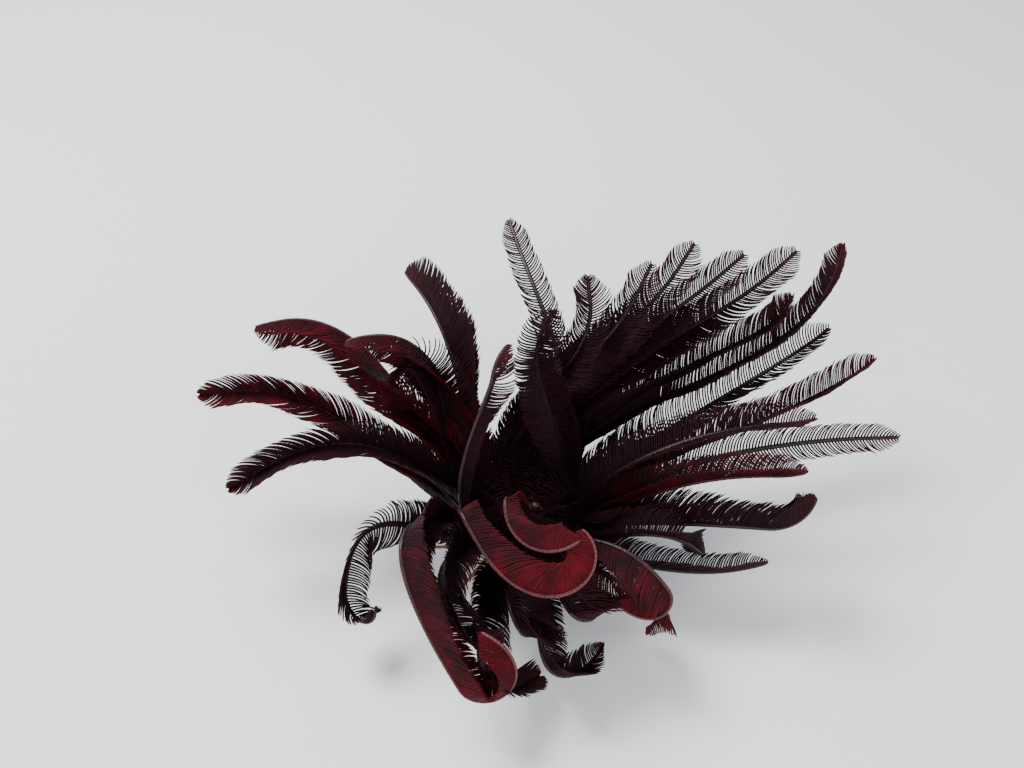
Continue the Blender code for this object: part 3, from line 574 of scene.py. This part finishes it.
def pinnule_rows(path, index, parts):
    """All pinnules of one arm: curved rods that lean to the tip and fold over the oral side."""
    arm = path.arm
    radius = by_fold(arm, PINNULE_RADIUS)
    for side in (-1, 1):
        at = pinnule_places(path, side)
        n = len(at)
        part = at / path.length
        line, ahead, up = pinnule_lines(path, side, index, at)
        cross = np.cross(ahead, up)
        t = PINNULE_STEPS
        width = radius * (1 + 0.12 * (1 - part[:, None])) * (1 - 0.42 * t**1.5)
        width[:, -1] = 0.05
        turn = 2 * math.pi * np.arange(PINNULE_SIDES) / PINNULE_SIDES
        c, s = np.cos(turn), np.sin(turn)
        points = (
            line[:, :, None]
            + cross[:, :, None] * (width[..., None] * c)[..., None]
            + up[:, :, None] * (width[..., None] * s)[..., None] * 1.1
        )
        per = PINNULE_RINGS * PINNULE_SIDES
        quads = sweep_faces(PINNULE_RINGS, PINNULE_SIDES)
        quads = (quads[None] + (np.arange(n) * per)[:, None, None]).reshape(-1, 4)
        u = 0.02 + 0.96 * (at + 14) / UV_REACH
        v = (index + (0.3 if side < 0 else 0.7)) / ARM_ROWS
        along_u = np.broadcast_to(u[:, None, None], points.shape[:3])
        place = np.stack([along_u, np.full(points.shape[:3], v)], axis=-1)
        spot = np.stack(np.meshgrid(t, np.arange(PINNULE_SIDES) / PINNULE_SIDES, indexing="ij"), axis=-1)
        uv = (place + TUFT_PATCH * spot).reshape(-1, 2)
        parts.add(
            points.reshape(-1, 3),
            quads,
            uv,
            red=np.repeat(lit_red_share(arm, part), per),
            along=np.repeat(part, per),
            out=np.tile(np.repeat(t, PINNULE_SIDES), n),
            # A random share per pinnule, which sets how strong its painted highlight is
            shade=np.repeat(rng.random(n), per),
        )


def cirrus_line(i):
    """Centreline of one cirrus: out and up from the cup, then down to the floor, where its end lies."""
    bearing = 360.0 * i / CIRRUS_COUNT + CIRRUS_SWAY * math.sin(1.7 * i)
    free = i % FREE_CIRRUS_EVERY == 0
    low, high = CIRRUS_REACH
    reach = (low + (high - low) * (0.5 + 0.5 * math.sin(2.4 * i))) * (0.62 if free else 1.0)
    start = CUP_LOW + (2.9 if free else 1.2)
    points = []
    for k in range(CIRRUS_RINGS):
        t = k / (CIRRUS_RINGS - 1)
        out = CUP_RADIUS * 0.55 + (reach - CUP_RADIUS * 0.55) * t
        if free:
            height = start + CIRRUS_ARCH * 0.35 * math.sin(math.pi * t) - 5.5 * t * t
        else:
            floor = CIRRUS_RADIUS[1] - CIRRUS_SINK
            fall = min(1.0, t / 0.8)
            arch = CIRRUS_ARCH * math.sin(math.pi * fall) * (1 - fall) ** 0.5
            height = start + (floor - start) * fall**1.7 + arch
        points.append(polar(bearing + 7 * t * t * (-1) ** i, out, height))
    return np.array(points)


def cirri(parts):
    """The cup with its sockets, and the jointed cirri that hold the animal up."""
    sides = 48
    z = np.linspace(0, 1, 18)
    mid = (CUP_LOW + CUP_HIGH) / 2
    profile_z = [CUP_LOW, CUP_LOW + 0.3, mid - 1.0, mid + 0.8, CUP_HIGH - 0.5, CUP_HIGH]
    profile_r = [0.02] + [CUP_RADIUS * share for share in (0.55, 0.92, 1.0, 0.9, 0.78)]
    heights = CUP_LOW + (CUP_HIGH - CUP_LOW) * z**1.3
    radii = np.interp(heights, profile_z, profile_r) * 0.985
    turn = 2 * math.pi * np.arange(sides) / sides
    rr = radii[:, None] * (1 + 0.035 * np.sin(turn * 9)[None] * np.sin(heights * 4)[:, None])
    points = np.stack([rr * np.cos(turn), rr * np.sin(turn), heights[:, None] + 0 * turn], axis=-1)
    points = points.reshape(-1, 3)
    quads = sweep_faces(18, sides)
    points = np.concatenate([points, [[0, 0, CUP_HIGH]]])
    k = np.arange(sides)
    base = 17 * sides
    after = base + (k + 1) % sides
    lid = np.stack([np.full(sides, 18 * sides), base + k, after, after], axis=-1)
    uv = np.stack([0.5 + points[:, 0] / 40, 0.5 + points[:, 1] / 40], axis=-1)
    zero = np.zeros(len(points))
    parts.add(points, np.concatenate([quads, lid]), uv, joint=zero, along=zero)
    for i in range(CIRRUS_COUNT):
        rough = cirrus_line(i)
        knots = np.concatenate([[0], np.cumsum(np.linalg.norm(np.diff(rough, axis=0), axis=1))])
        fine = np.arange(0, knots[-1], CIRRAL_LENGTH / 6)
        line = np.stack([np.interp(fine, knots, rough[:, a]) for a in range(3)], axis=-1)
        kernel = np.ones(9) / 9
        padded = np.pad(line, ((4, 4), (0, 0)), mode="edge")
        line = np.stack([np.convolve(padded[:, a], kernel, mode="valid") for a in range(3)], axis=-1)
        tangent = unit(np.gradient(line, axis=0))
        up = across(np.array([0, 0, 1.0]) + 0 * line, tangent)
        t = fine / fine[-1]
        phase = (fine / CIRRAL_LENGTH) % 1.0
        knuckle = np.abs(np.cos(math.pi * phase))
        radius = np.interp(t, [0, 1], CIRRUS_RADIUS) * (0.86 + 0.16 * knuckle**3)
        claw = np.clip((fine[-1] - fine) / 1.6, 0.04, 1) ** 0.6
        radius = radius * claw
        line[:, 2] = np.maximum(line[:, 2], radius * 0.98)
        points, quads, _ = tube(line, tangent, up, radius, radius * 0.98, CIRRUS_SIDES)
        rows = len(line)
        v = (i + 0.1 + 0.8 * np.tile(np.arange(CIRRUS_SIDES) / CIRRUS_SIDES, rows)) / CIRRUS_ROWS
        uv = np.stack([0.02 + 0.9 * np.repeat(t, CIRRUS_SIDES), v], axis=-1)
        uv = np.concatenate([uv, uv[:2]])
        joint = np.concatenate([np.repeat(knuckle**6, CIRRUS_SIDES), [0, 0]])
        along = np.concatenate([np.repeat(t, CIRRUS_SIDES), [0, 1]])
        parts.add(points, quads, uv, joint=joint, along=along)


class Shader:
    """A small helper that adds nodes to one material."""

    def __init__(self, name, roughness=0.5):
        self.material = bpy.data.materials.new(name)
        self.material.use_nodes = True
        self.tree = self.material.node_tree
        self.bsdf = self.tree.nodes["Principled BSDF"]
        self.bsdf.inputs["Roughness"].default_value = roughness
        self.bsdf.inputs["Specular IOR Level"].default_value = 0.3

    def node(self, kind, **settings):
        made = self.tree.nodes.new(kind)
        for key, value in settings.items():
            setattr(made, key, value)
        return made

    def link(self, a, b):
        self.tree.links.new(a, b)

    def attribute(self, name):
        return self.node("ShaderNodeAttribute", attribute_name=name).outputs["Fac"]

    def math(self, operation, a, b=0.0, clamp=False):
        made = self.node("ShaderNodeMath", operation=operation, use_clamp=clamp)
        for socket, value in zip(made.inputs, (a, b)):
            if isinstance(value, (int, float)):
                socket.default_value = value
            else:
                self.link(value, socket)
        return made.outputs[0]

    def noise(self, scale, detail=4.0, rough=0.55):
        place = self.node("ShaderNodeTexCoord").outputs["Object"]
        made = self.node("ShaderNodeTexNoise")
        made.inputs["Scale"].default_value = scale
        made.inputs["Detail"].default_value = detail
        made.inputs["Roughness"].default_value = rough
        self.link(place, made.inputs["Vector"])
        return made.outputs["Fac"]

    def spread(self, value, low, high, to_low=0.0, to_high=1.0):
        made = self.node("ShaderNodeMapRange", interpolation_type="SMOOTHSTEP")
        for key, number in (("From Min", low), ("From Max", high), ("To Min", to_low), ("To Max", to_high)):
            made.inputs[key].default_value = number
        self.link(value, made.inputs["Value"])
        return made.outputs["Result"]

    def mix(self, factor, a, b):
        made = self.node("ShaderNodeMix", data_type="RGBA")
        if isinstance(factor, (int, float)):
            made.inputs[0].default_value = factor
        else:
            self.link(factor, made.inputs[0])
        for socket, value in ((made.inputs[6], a), (made.inputs[7], b)):
            if isinstance(value, tuple):
                socket.default_value = (*value, 1)
            else:
                self.link(value, socket)
        return made.outputs[2]

    def bump(self, height, strength, distance):
        made = self.node("ShaderNodeBump")
        made.inputs["Strength"].default_value = strength
        made.inputs["Distance"].default_value = distance
        self.link(height, made.inputs["Height"])
        self.link(made.outputs["Normal"], self.bsdf.inputs["Normal"])


def flesh_colour(shader, red):
    """The colours that skin and pinnules share: near-black maroon as painted shade, with deep red in random
    patches where an arm is painted as sunlit.
    """
    patches = shader.noise(160.0, 3.0)
    grain = shader.noise(900.0, 4.0)
    # The share painted as sunlit red rather than as shaded near-black, shaken a little by the patches
    sunlit_share = shader.math("ADD", red, shader.spread(patches, 0.35, 0.7, -0.09, 0.09))
    sunlit_share = shader.spread(sunlit_share, 0.12, 0.85)
    base = shader.mix(shader.spread(grain, 0.3, 0.75), BLACK_MAROON, MAROON)
    strong = shader.mix(shader.spread(patches, 0.35, 0.7), DEEP_RED, BRIGHT_RED)
    return shader.mix(sunlit_share, base, strong), sunlit_share, grain


def skin_material():
    shader = Shader("skin_wet_ossicles", 0.42)
    colour, sunlit_share, grain = flesh_colour(shader, shader.attribute("red"))
    under = shader.spread(shader.attribute("top"), 0.25, -0.75)
    # The ridge's colour follows the painted sunlit share: its dark copy on arms painted in shade
    ridge = shader.mix(sunlit_share, RIDGE_DARK, PINK_BROWN)
    colour = shader.mix(shader.math("MULTIPLY", under, 0.75), colour, ridge)
    colour = shader.mix(shader.math("MULTIPLY", shader.attribute("suture"), 0.6), colour, BLACK_MAROON)
    leather = shader.mix(shader.spread(grain, 0.35, 0.7), LEATHER_DARK, LEATHER)
    leather = shader.mix(shader.attribute("suture"), leather, FOOD_GROOVE)
    colour = shader.mix(shader.attribute("disc"), colour, leather)
    shader.link(colour, shader.bsdf.inputs["Base Color"])
    shader.link(shader.spread(grain, 0.3, 0.7, 0.34, 0.56), shader.bsdf.inputs["Roughness"])
    shader.bsdf.inputs["Subsurface Weight"].default_value = 0.06
    shader.bsdf.inputs["Subsurface Scale"].default_value = 0.0006
    fine = shader.math("ADD", shader.noise(2600.0, 3.0), shader.math("MULTIPLY", grain, 0.7))
    shader.bump(fine, 0.35, 0.00012)
    return shader.material


def pinnule_material():
    shader = Shader("pinnule_comb", 0.6)
    shader.bsdf.inputs["Specular IOR Level"].default_value = 0.1
    colour, sunlit_share, grain = flesh_colour(shader, shader.attribute("red"))
    # Painted highlight: the outer half of each pinnule is painted lighter, more or less at random from one
    # pinnule to the next
    out = shader.attribute("out")
    shade = shader.spread(shader.attribute("shade"), 0.1, 1.0, 0.4, 0.65)
    rim = shader.math("MULTIPLY", shader.spread(out, 0.45, 1.0), shade)
    rim_highlight_colour = shader.mix(sunlit_share, RIM_HIGHLIGHT_MAROON, RIM_HIGHLIGHT_RED)
    colour = shader.mix(rim, colour, rim_highlight_colour)
    tip = shader.spread(shader.attribute("along"), 0.82, 1.0, 0.0, 0.45)
    # The arm ends' colour follows the painted sunlit share: maroon in painted shade, deep red where painted
    # sunlit
    colour = shader.mix(tip, colour, shader.mix(sunlit_share, END_MAROON, DEEP_RED))
    shader.link(colour, shader.bsdf.inputs["Base Color"])
    shader.link(shader.spread(grain, 0.3, 0.7, 0.5, 0.68), shader.bsdf.inputs["Roughness"])
    shader.bsdf.inputs["Subsurface Weight"].default_value = 0.12
    shader.bsdf.inputs["Subsurface Scale"].default_value = 0.0008
    shader.bump(shader.noise(3200.0, 2.0), 0.3, 0.00008)
    return shader.material


def horn_material():
    shader = Shader("cirrus_horn_joints", 0.38)
    grain = shader.noise(1100.0, 4.0)
    colour = shader.mix(shader.spread(grain, 0.3, 0.72), HORN_DARK, HORN)
    knuckle = shader.math("MULTIPLY", shader.attribute("joint"), 0.55)
    colour = shader.mix(knuckle, colour, KNUCKLE)
    end = shader.spread(shader.attribute("along"), 0.75, 1.0, 0.0, 0.7)
    colour = shader.mix(end, colour, HORN_DARK)
    shader.link(colour, shader.bsdf.inputs["Base Color"])
    shader.link(shader.spread(grain, 0.3, 0.7, 0.3, 0.5), shader.bsdf.inputs["Roughness"])
    shader.bump(shader.noise(2400.0, 3.0), 0.3, 0.0001)
    return shader.material


def build_animal():
    roots = arm_roots()
    paths = {name: Path(name, *roots[name]) for name in ARMS}
    names = list(paths)
    skin_parts = Parts()
    for i, name in enumerate(names):
        rachis(skin_parts, i, paths[name], *roots[name])
    disc(skin_parts)
    skin = skin_parts.make("skin")
    skin.data.materials.append(skin_material())
    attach(skin, "root")
    flesh = [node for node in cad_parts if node.startswith(("arm_", "ray_base_", "oral_disc"))]
    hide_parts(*flesh)
    comb = pinnule_material()
    for ray in RAY_BEARINGS:
        mine = [name for name in names if ARMS[name].ray == ray]
        for half, some in enumerate((mine[: len(mine) // 2], mine[len(mine) // 2 :])):
            parts = Parts()
            for name in some:
                pinnule_rows(paths[name], names.index(name), parts)
            made = parts.make(f"pinnules_{ray}{half + 1}")
            made.data.materials.append(comb)
            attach(made, "root")
    legs = Parts()
    cirri(legs)
    made = legs.make("cup_and_cirri")
    made.data.materials.append(horn_material())
    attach(made, "root")
    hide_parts("centrodorsal_cirri")


def build_stage():
    bpy.ops.mesh.primitive_plane_add(size=6, location=(0, 0, 0))
    floor = bpy.context.object
    floor.name = "floor"
    shader = Shader("floor_pale", 0.75)
    shade = shader.mix(shader.noise(3.0, 2.0), (0.74, 0.75, 0.76), (0.78, 0.79, 0.8))
    shader.link(shade, shader.bsdf.inputs["Base Color"])
    floor.data.materials.append(shader.material)
    world = bpy.data.worlds.new("studio")
    world.use_nodes = True
    world.node_tree.nodes["Background"].inputs["Color"].default_value = (0.82, 0.88, 0.95, 1)
    world.node_tree.nodes["Background"].inputs["Strength"].default_value = 0.6
    bpy.context.scene.world = world
    for name, place, size, power, colour in (
        ("key", (-0.35, 0.25, 0.75), 0.35, 13.0, (1.0, 0.98, 0.95)),
        ("fill", (0.6, -0.5, 0.5), 0.6, 5.0, (0.92, 0.96, 1.0)),
        ("front", (-0.2, -0.7, 0.45), 0.5, 4.0, (1.0, 0.97, 0.95)),
    ):
        light = bpy.data.lights.new(name, "AREA")
        light.energy = power
        light.size = size
        light.color = colour
        lamp = bpy.data.objects.new(name, light)
        lamp.location = place
        aim = np.array([0.0, 0.0, 0.04]) - np.array(place)
        lamp.rotation_euler = (
            math.atan2(math.hypot(aim[0], aim[1]), -aim[2]),
            0,
            math.atan2(aim[1], aim[0]) - math.pi / 2,
        )
        bpy.context.scene.collection.objects.link(lamp)


def build_camera():
    focal = LENS / SENSOR * IMAGE[0]
    depth = focal / CUP_SCALE
    rise = math.radians(ELEVATION)
    forward = np.array([0.0, math.cos(rise), -math.sin(rise)])
    right = np.array([1.0, 0.0, 0.0])
    up = np.cross(right, forward)
    across_x = (CUP_PIXEL[0] - IMAGE[0] / 2) / focal * depth
    across_y = -(CUP_PIXEL[1] - IMAGE[1] / 2) / focal * depth
    where = np.array(CUP_POINT) - forward * depth - right * across_x - up * across_y
    data = bpy.data.cameras.new("camera")
    data.lens = LENS
    data.sensor_width = SENSOR
    camera = bpy.data.objects.new("camera", data)
    camera.location = in_frame(where)
    camera.rotation_euler = (math.radians(90 - ELEVATION), 0, 0)
    bpy.context.scene.collection.objects.link(camera)
    bpy.context.scene.camera = camera


build_camera()
build_stage()
build_animal()
